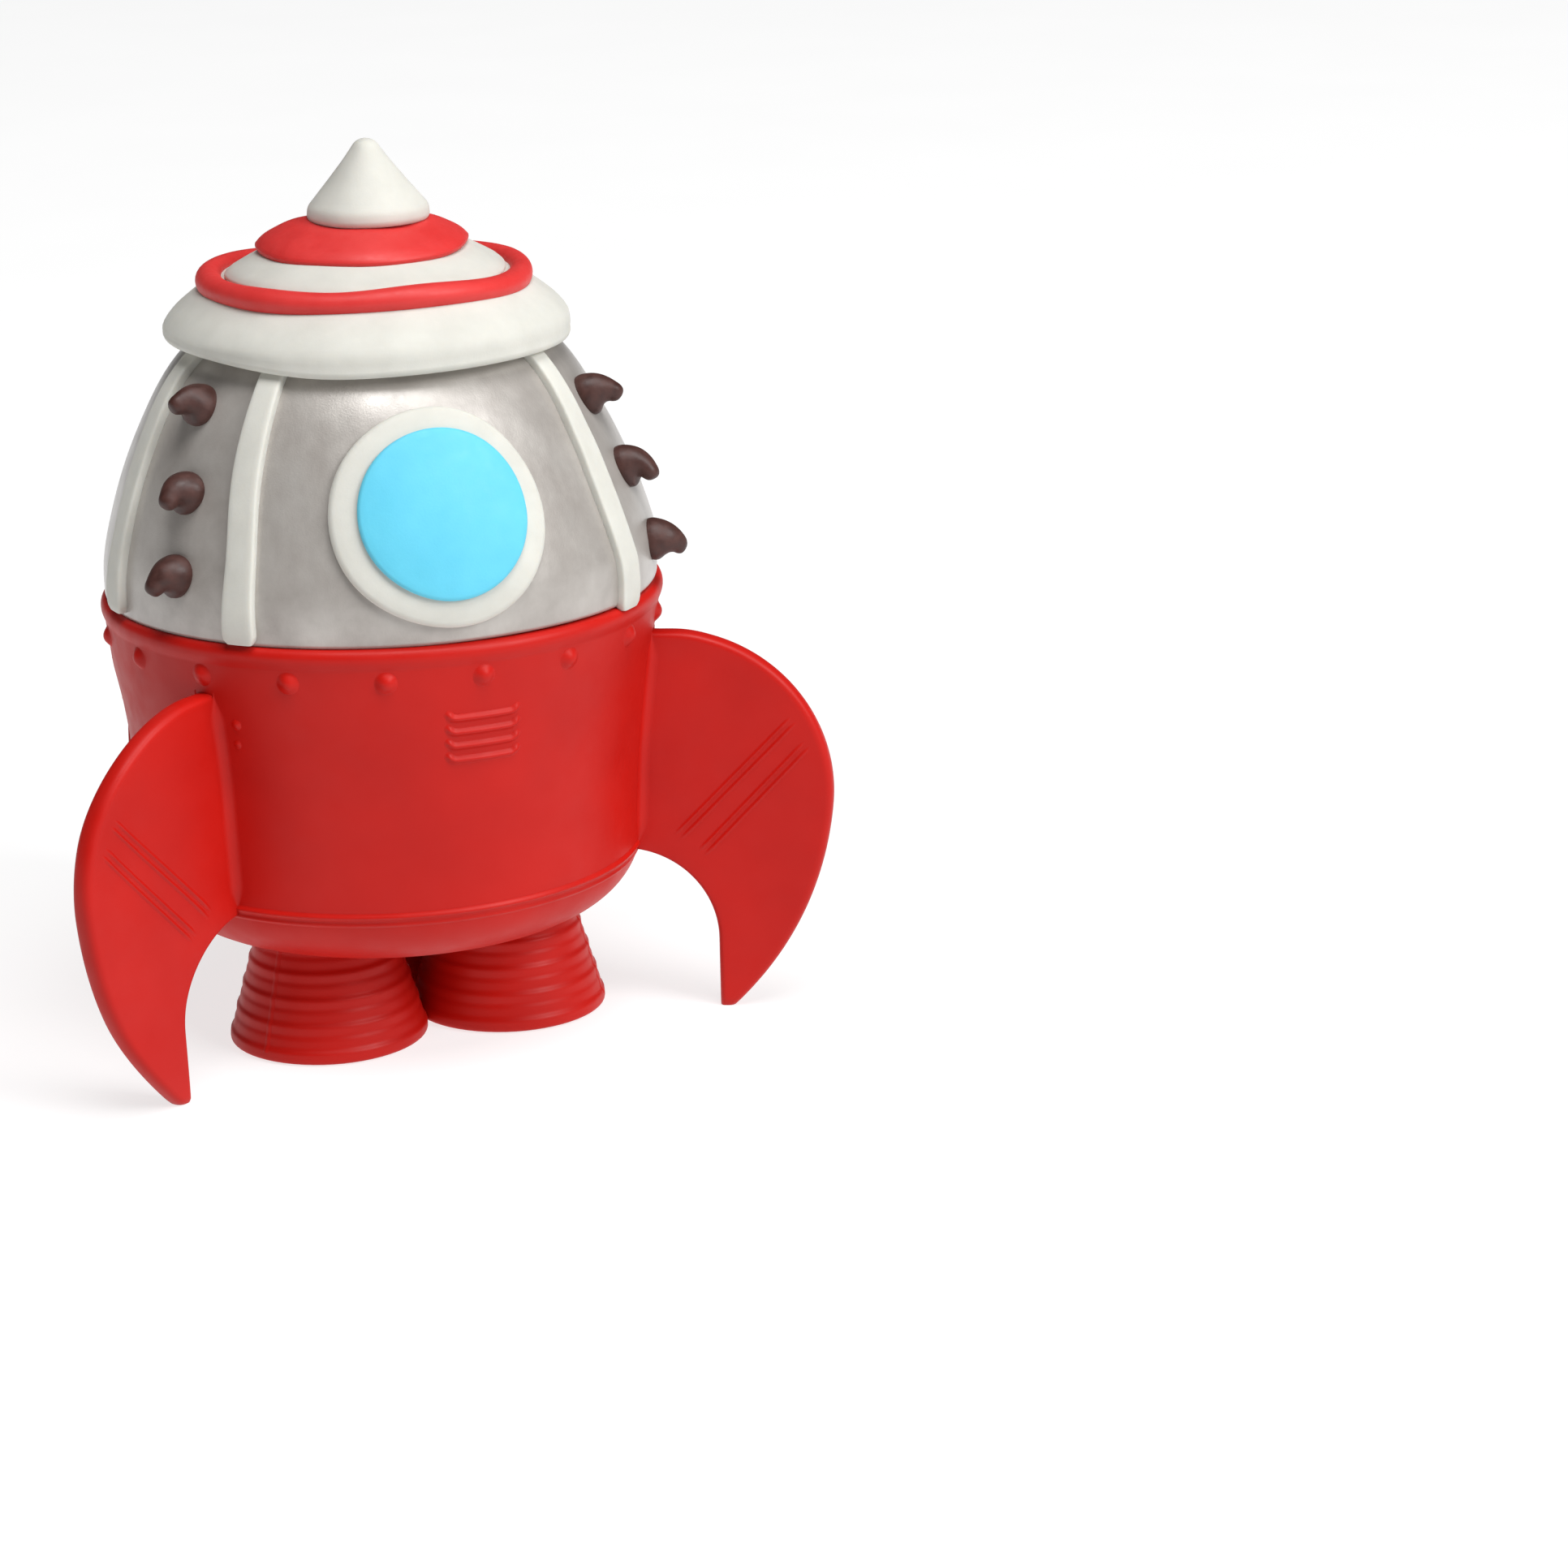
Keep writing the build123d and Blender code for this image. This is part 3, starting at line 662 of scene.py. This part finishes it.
def cup_feet():
    """Three booster feet, with the mould's parting line up the outward side of each."""
    bell = lathe(foot_profile(), BELL_COLUMNS)
    outside = foot_profile()[-92:-2:2]
    half = np.linspace(-1, 1, 5)
    lift = np.r_[np.cos(half * np.pi / 2) ** 2 * SEAM_HEIGHT - 0.01, -0.3, -0.3]
    offset = np.r_[half, 1, -1] * SEAM_HALF_WIDTH
    radius = outside[:, :1] + lift[None, :]
    seam = sheet(np.stack(np.broadcast_arrays(radius, offset, outside[:, 1:]), -1))
    made = []
    for azimuth in FIN_AZIMUTHS:
        place = polar(FOOT_CIRCLE, azimuth, 0.0)
        turn = Matrix.Rotation(np.radians(azimuth - 90), 3, "Z")
        made += [moved(bell, turn, place), moved(seam, turn, place)]
    return made


moulding = [cup_shell(), *cup_studs(), *cup_vents(), *cup_door(), *cup_band(), *cup_fins(), *cup_feet()]
moulding = [slumped(part) for part in moulding]
piece("silicone_cup_moulding", moulding, RED_SILICONE, "cup", ["silicone_cup"])


# ================================================================ the iced dome
DOME_POINTS = (
    (35.3, 59.1), (35.4, 62.0), (34.0, 70.0), (30.5, 80.0), (24.3, 90.0), (14.5, 96.3), (0.0, 98.4),
)
DOME_LINE = through(DOME_POINTS, 400)
DOME_CENTRE = 60.0
COVER_THICKNESS = 2.5
STRIP_TOP = 91.3
STRIP_EDGE_POWER = 0.32


def dome_radius(z):
    """Radius of the iced dome at a height."""
    return np.interp(z, DOME_LINE[:, 1], DOME_LINE[:, 0])


def lumps(azimuth, z, amount):
    """Slow hand-made unevenness: a sum of a few waves round and up the dome, in mm."""
    a, h = np.radians(azimuth), z / 9
    waves = np.sin(3 * a + h) + 0.7 * np.sin(5 * a - 1.3 * h + 1) + 0.5 * np.sin(8 * a + 2.1 * h + 2)
    return amount * waves / 2


def dome_frame(azimuth, z):
    """Point on the dome and its outward normal."""
    step = 0.2
    slope = (dome_radius(z + step) - dome_radius(z - step)) / (2 * step)
    normal = polar(np.ones_like(slope), azimuth, -slope)
    radius = dome_radius(z) + lumps(azimuth, z, 0.12)
    return polar(radius, azimuth, z), normal / np.linalg.norm(normal, axis=-1, keepdims=True)


def silver_cover():
    """Icing sheet over the dome, with a rounded cut edge on the rim that wanders a little in height."""
    thick = COVER_THICKNESS
    inner = [(r - thick * min(1, r / 8), z - thick * (z - DOME_CENTRE) / 40) for r, z in DOME_POINTS]
    inner = through(inner, 40)[::-1]
    foot = arc((34.45, 59.75), (0.93, 0.93), -100, -10, 8)
    profile = np.concatenate([inner, line((33.2, 58.84), (34.1, 58.82), 3), foot, DOME_LINE[12::4]])
    profile[0, 0] = profile[-1, 0] = 0.4

    def shape(radius, z, azimuth):
        edge = smoothstep((62.5 - z) / 3.5)
        wander = 0.12 * np.sin(np.radians(2 * azimuth + 40)) + 0.06 * np.sin(np.radians(5 * azimuth))
        return radius + lumps(azimuth, z, 0.12) * (z > 58), z + edge * (wander - 0.1)

    return lathe(profile, 240, shape)


cover = slumped(silver_cover())
piece("silver_fondant_cover", [cover], SILVER_ICING, "cake", ["silver_fondant"])


def boxy(value):
    """A sine or cosine raised to a small power with its sign kept, so a section is nearly square."""
    return np.sign(value) * np.abs(value) ** STRIP_EDGE_POWER


def strip_surface(number, azimuth, foot_z):
    """Flat icing bar laid up the dome: a rounded-rectangle section carried along a meridian, its edges a
    little wavy and its corners cut square by a knife."""
    z = np.linspace(foot_z, STRIP_TOP, 60)
    share = (z - foot_z) / (STRIP_TOP - foot_z)
    sway = 0.25 * np.sin(4.1 * share + number) + 0.12 * np.sin(11 * share + 2 * number)
    width = 4.4 - 1.1 * share + 0.12 * np.sin(9 * share + number)
    thick = 1.15 + 0.06 * np.sin(7 * share + number)
    turn = np.radians(np.arange(24) * 15 + 7.5)
    across = boxy(np.cos(turn))[None, :] * width[:, None] / 2 + sway[:, None]
    lift = boxy(np.sin(turn))[None, :] * (thick[:, None] / 2 + 0.25) + thick[:, None] / 2 - 0.25
    around = azimuth + np.degrees(across / dome_radius(z)[:, None])
    centre, normal = dome_frame(around, np.broadcast_to(z[:, None], around.shape))
    grid = centre + normal * lift[..., None]
    middle = grid.mean(1, keepdims=True)
    shrink = 1 - 0.25 * np.exp(-np.arange(len(z)) / 0.8)
    grid = middle + (grid - middle) * shrink[:, None, None]
    return sheet(grid)


STRIPS = ((-89.0, 59.6), (-50.0, 59.2), (38.5, 58.5), (100.0, 59.4), (142.0, 59.5), (218.0, 59.5))
for number, (azimuth, foot_z) in enumerate(STRIPS, 1):
    surface = slumped(strip_surface(number, azimuth, foot_z))
    node = f"white_strip_{number}"
    piece(f"icing_strip_{number}", [surface], WHITE_ICING, "cake", [node])


# ================================================================ portholes
PORTHOLE_Z = 74.0
PORTHOLE_TILT = 20.5


def onto_dome(points, facing, lift):
    """Slides points along the facing direction until they lie on the dome, by halving, then lifts them."""
    low, high = np.full(points.shape[:-1], -14.0), np.full(points.shape[:-1], 8.0)
    for _ in range(40):
        middle = (low + high) / 2
        at = points + facing * middle[..., None]
        outside = np.hypot(at[..., 0], at[..., 1]) > dome_radius(at[..., 2])
        high, low = np.where(outside, middle, high), np.where(outside, low, middle)
    return points + facing * (low + lift)[..., None]


def icing_disc(azimuth, radius, base, thickness, wobble, seed, shift=(0.0, 0.0)):
    """Round of rolled icing pressed onto the dome: rings from the middle out, over a rounded edge and back
    under, its outline a circle plus a few waves."""
    tilt = np.radians(PORTHOLE_TILT)
    out = polar(1.0, azimuth, 0.0)
    facing = out * np.cos(tilt) + np.array([0, 0, np.sin(tilt)])
    across = polar(1.0, azimuth + 90, 0.0)
    up = np.cross(facing, across)
    up = up if up[2] > 0 else -up
    angle = np.arange(120) / 120 * TAU
    waves = np.cos(2 * angle + 2.2) + np.cos(3 * angle + 2.7 + seed) + 0.4 * np.cos(5 * angle + seed)
    outline = radius * (1 + wobble * waves)
    edge = thickness * 0.5
    turn = np.radians(np.linspace(90, -90, 9))
    flat_part = np.linspace(0.03, 1, 14)[:, None] * (outline - edge)
    ring = np.concatenate([flat_part, (outline - edge) + edge * np.cos(turn[1:])[:, None]])
    height = np.r_[np.full(14, thickness), thickness / 2 + edge * np.sin(turn[1:])]
    ring = np.concatenate([ring, [ring[-1] * 0.5, ring[-1] * 0.05]])
    height = np.r_[height, -0.3, -0.3]
    crown = np.clip(1 - (ring / outline) ** 2, 0, 1) * 0.12
    x, y = ring * np.cos(angle) + shift[0], ring * np.sin(angle) + shift[1]
    middle = polar(dome_radius(PORTHOLE_Z), azimuth, PORTHOLE_Z)
    flat = middle + across * x[..., None] + up * y[..., None]
    lift = height[:, None] + base + np.where(height[:, None] >= thickness, crown, 0)
    return sheet(onto_dome(flat, facing, lift))


PORTHOLES = ((-6.6, 0.0), (174.0, 1.7))
for number, (azimuth, seed) in enumerate(PORTHOLES, 1):
    disc = slumped(icing_disc(azimuth, 13.7, 0.0, 1.2, 0.01, seed, (0.1, 0.6)))
    pane = slumped(icing_disc(azimuth, 10.75, 1.2, 0.85, 0.006, seed + 1, (0.4, 0.8)))
    disc_node, pane_node = f"porthole_disc_{number}", f"porthole_pane_{number}"
    piece(f"icing_porthole_{number}", [disc], WHITE_ICING, "cake", [disc_node])
    piece(f"icing_pane_{number}", [pane], BLUE_ICING, "cake", [pane_node])


# ================================================================ chocolate drops
CHIP_SPOTS = (
    ((-66.7, 66.5), (-67.2, 76.5), (-72.0, 86.4)),
    ((57.0, 64.6), (55.0, 74.6), (55.0, 83.9)),
)
CHIP_LINE = (
    (2.3, 0.0), (2.7, 0.4), (2.75, 1.0), (2.5, 1.8), (2.05, 2.7),
    (1.65, 3.4), (1.35, 4.1), (1.18, 4.7), (0.85, 5.2), (0.15, 5.4),
)
CHIP_CURL = 66


def chip_surface(azimuth, z, seed):
    """Chocolate drop: a round foot that draws in to a blunt neck, whose end droops over.
    The middle line turns by the curl angle on its way out, and the section shrinks along it."""
    body = through(CHIP_LINE, 40)
    radius, run = body[:, 0], np.maximum.accumulate(body[:, 1])
    curl = np.radians(CHIP_CURL + 10 * np.sin(seed)) * smoothstep((run - 0.8) / 4.4)
    gaps = np.diff(run, prepend=run[0])
    rise = np.cumsum(gaps * np.cos(curl)) - 0.5
    lean = np.cumsum(gaps * np.sin(curl))
    droop = np.radians(-90 + 24 * np.sin(1.7 * seed))
    seat, normal = dome_frame(np.array(azimuth), np.array(z))
    across = polar(1.0, azimuth + 90, 0.0)
    up = np.cross(normal, across)
    side = across * np.cos(droop) + up * np.sin(droop)
    other = np.cross(normal, side)
    turn = np.arange(28) / 28 * TAU
    middle = seat + normal * rise[:, None] + side * lean[:, None]
    plane = side * np.cos(curl)[:, None] - normal * np.sin(curl)[:, None]
    ripple = 1 + 0.03 * np.sin(3 * turn + seed)
    grid = middle[:, None] + radius[:, None, None] * ripple[:, None] * (
        plane[:, None] * np.cos(turn)[:, None] + other * np.sin(turn)[:, None]
    )
    return sheet(grid)


for row, spots in enumerate(CHIP_SPOTS, 1):
    for level, (azimuth, z) in enumerate(spots, 1):
        surface = chip_surface(azimuth, z, row * 5 + level * 2)
        name = f"chocolate_chip_{row}_{level}"
        piece(f"{name}_curled", [slumped(surface)], CHOCOLATE, "cake", [name])


# ================================================================ the nose
TUCK_AZIMUTH = 115.0
CONE_OFFSET = (0.7, -0.35, 0)


def wavy(radial, vertical, seed, tuck=0.0):
    """Hand-laid unevenness for a turned shape: slow waves in radius and height, in mm. The foot of the
    shoulder sits higher by the tuck on one side."""
    def shape(radius, z, azimuth):
        a = np.radians(azimuth)
        waves = np.sin(2 * a + seed) + 0.6 * np.sin(3 * a + 2.3 * seed) + 0.35 * np.sin(7 * a + seed)
        lift = np.sin(2 * a + 1.7 * seed) + 0.5 * np.sin(4 * a + seed)
        share = np.clip(radius / 6, 0, 1)
        high_side = smoothstep(np.cos(a + np.radians(TUCK_AZIMUTH)))
        foot = tuck * high_side * (1 - smoothstep((z - 91.5) / 3)) * share
        return radius + radial * waves * share, z + vertical * lift * share + foot
    return shape


def nose_pieces():
    """Shoulder disc, discs and cone, each turned from its profile and made uneven."""
    shoulder_top = [
        (26.15, 92.1), (26.2, 93.0), (26.05, 94.1), (25.3, 95.2),
        (23.3, 97.0), (19.6, 99.4), (12, 99.9), (0.5, 100.0),
    ]
    shoulder = np.concatenate([
        line((0.5, 92.0), (24.6, 90.9), 16),
        arc((25.3, 91.8), 0.9, -90, 20, 8)[1:],
        through(shoulder_top, 44)[1:],
    ])
    white_top = [(18.1, 100.5), (16.6, 101.4), (14.3, 102.6), (13.0, 103.1), (8.0, 103.2), (0.5, 103.2)]
    white = np.concatenate([
        line((0.5, 99.7), (17.4, 99.5), 8),
        arc((17.7, 100.0), 0.55, -90, 40, 8)[1:],
        through(white_top, 26)[1:],
    ])
    red_top = [(13.84, 103.5), (13.2, 104.2), (11.4, 105.3), (9.3, 106.2), (7.4, 106.6), (0.5, 106.75)]
    red = np.concatenate([
        line((0.5, 102.9), (12.9, 102.75), 8),
        arc((13.2, 103.4), 0.65, -90, 10, 8)[1:],
        through(red_top, 28)[1:],
    ])
    cone_side = [
        (7.9, 107.6), (7.7, 108.4), (7.0, 109.3), (4.7, 112.1),
        (2.8, 114.5), (2.0, 115.6), (1.3, 116.5), (0.3, 116.9),
    ]
    cone = np.concatenate([
        line((0.5, 106.5), (6.6, 106.45), 6),
        arc((7.0, 107.35), 0.9, -90, 0, 8)[1:],
        through(cone_side, 34)[1:],
    ])
    cone = moved(lathe(cone, 96, wavy(0.08, 0.05, 1.0)), offset=CONE_OFFSET)
    yield "white_shoulder", "shoulder_disc", lathe(shoulder, 200, wavy(0.18, 0.18, 0.6, 1.4)), WHITE_ICING
    yield "white_top_round", "white_disc", lathe(white, 160, wavy(0.2, 0.12, 2.1)), WHITE_ICING
    yield "red_top_round", "red_disc", lathe(red, 160, wavy(0.3, 0.2, 3.3)), RED_ICING
    yield "white_nose", "nose_cone", cone, WHITE_ICING


for name, node, surface, material in nose_pieces():
    piece(name, [surface], material, "cake", [node])


def rolled_ring():
    """Rope of icing round the white disc: an oval section carried round, thicker here and thinner there."""
    azimuth = np.arange(220) * 360 / 220
    a = np.radians(azimuth)
    middle = 20.15 + 0.2 * np.sin(2 * a + 1) + 0.12 * np.sin(5 * a)
    height = 99.35 + 0.25 * np.sin(3 * a + 2) + 0.15 * np.sin(5 * a + 1)
    thick = 0.9 + 0.12 * np.cos(a + np.radians(25)) + 0.05 * np.sin(3 * a) + 0.04 * np.sin(7 * a + 2)
    turn = np.arange(28) / 28 * TAU
    radius = middle[:, None] + 1.75 * thick[:, None] * np.cos(turn)
    z = height[:, None] + 1.6 * thick[:, None] * np.sin(turn)
    return sheet(polar(radius, azimuth[:, None], z), wrap_rows=True)


piece("red_rope_ring", [rolled_ring()], RED_ICING, "cake", ["red_ring"])


# ================================================================ the cake inside
def sponge_surface():
    """Cake baked in the cup: the cup's hollow with its draft, a rounded foot and a crumbly risen dome."""
    floor = INNER_FLOOR + 0.15
    foot_size = (INNER_FOOT[0] - INNER_FLAT, INNER_FOOT[1] - floor)
    foot = arc((INNER_FLAT - 0.3, INNER_FOOT[1]), foot_size, -90, 0, 24)
    side = line((INNER_FOOT[0] - 0.4, 24.6), (BEAD_INNER - 0.5, 58.9), 60)
    crown = [(31.6, 59.2), (31.4, 62.5), (30.2, 69.5), (26.8, 78.2), (20.9, 87.2), (11.0, 93.0), (0.5, 94.4)]
    dome = through(crown, 50)
    base = line((0.5, floor), (INNER_FLAT - 1.5, floor), 20)
    profile = np.concatenate([base, foot, side, dome])

    def shape(radius, z, azimuth):
        a = np.radians(azimuth)
        crumb = np.sin(17 * a + 1.9 * z) * np.sin(23 * a - 1.3 * z)
        crumb = crumb + np.sin(41 * a + 0.7 * z) * np.sin(2.9 * z)
        return radius - 0.07 * (crumb + 1) * np.clip(radius / 10, 0, 1), z
    return lathe(profile, 240, shape)


piece("sponge_cake_baked", [sponge_surface()], SPONGE, "cake", ["sponge_cake"])

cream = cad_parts["buttercream_coat"]
cream.data.materials.clear()
cream.data.materials.append(BUTTERCREAM)


# ================================================================ floor, light and camera
ROOM_LIGHT = 0.08


def studio():
    """Glowing white table in a dim room."""
    mesh = bpy.data.meshes.new("studio_floor")
    half = 8.0
    corners = [(-half, -half, 0), (half, -half, 0), (half, half, 0), (-half, half, 0)]
    mesh.from_pydata(corners, [], [(0, 1, 2, 3)])
    floor = bpy.data.objects.new("studio_floor", mesh)
    mesh.materials.append(lit_table())
    bpy.context.scene.collection.objects.link(floor)
    floor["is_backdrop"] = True
    world = bpy.data.worlds.new("dim_room")
    world.use_nodes = True
    background = world.node_tree.nodes["Background"]
    background.inputs["Color"].default_value = (1, 1, 1, 1)
    background.inputs["Strength"].default_value = ROOM_LIGHT
    bpy.context.scene.world = world


CAMERA_PLACE = Vector((-201.1, -546.9, 207.18)) * MM
CAMERA_HEADING = np.radians(25.36)
CAMERA_PITCH = 0.297189
CAMERA_ROLL = -0.02144
CAMERA_LENS = 104.52


def camera_axes():
    """Right, up and forward of the camera from its heading, pitch and roll."""
    across = Vector((np.cos(CAMERA_HEADING), -np.sin(CAMERA_HEADING), 0))
    level = Vector((np.sin(CAMERA_HEADING), np.cos(CAMERA_HEADING), 0))
    forward = level * np.cos(CAMERA_PITCH) - Vector((0, 0, 1)) * np.sin(CAMERA_PITCH)
    upright = level * np.sin(CAMERA_PITCH) + Vector((0, 0, 1)) * np.cos(CAMERA_PITCH)
    right = across * np.cos(CAMERA_ROLL) + upright * np.sin(CAMERA_ROLL)
    up = upright * np.cos(CAMERA_ROLL) - across * np.sin(CAMERA_ROLL)
    return right, up, forward


def camera():
    """Camera at the object's left front, a little above it."""
    right, up, forward = camera_axes()
    data = bpy.data.cameras.new("studio_camera")
    data.lens = CAMERA_LENS
    data.sensor_width = 36.0
    data.clip_start = 0.01
    made = bpy.data.objects.new("studio_camera", data)
    turn = Matrix((right, up, -forward)).transposed()
    made.matrix_world = Matrix.Translation(CAMERA_PLACE) @ turn.to_4x4()
    bpy.context.scene.collection.objects.link(made)
    bpy.context.scene.camera = made


def softbox(name, heading, elevation, distance, size, level, target=(0, 0, 0.06)):
    """Square area light that looks at the object. heading is in degrees round to the right of the camera,
    and level is how bright it makes a white card that faces it there: power = level * (pi * distance)^2."""
    turn = CAMERA_HEADING - np.radians(heading)
    lift = np.radians(elevation)
    way = Vector((-np.sin(turn) * np.cos(lift), -np.cos(turn) * np.cos(lift), np.sin(lift)))
    data = bpy.data.lights.new(name, "AREA")
    data.size = size
    data.energy = level * (np.pi * distance) ** 2
    made = bpy.data.objects.new(name, data)
    made.location = Vector(target) + way * distance
    made.rotation_euler = way.to_track_quat("Z", "Y").to_euler()
    bpy.context.scene.collection.objects.link(made)


studio()
camera()
softbox("side_softbox", 58, 35, 2.5, 1.1, 0.64)
softbox("top_softbox", 25, 72, 2.5, 1.3, 0.8)
bpy.context.scene.view_settings.view_transform = "Standard"

visual_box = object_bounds()
rows = {"cad": cad_box, "visual": visual_box}
{key: [[float(v) for v in corner] for corner in box] for key, box in rows.items()}
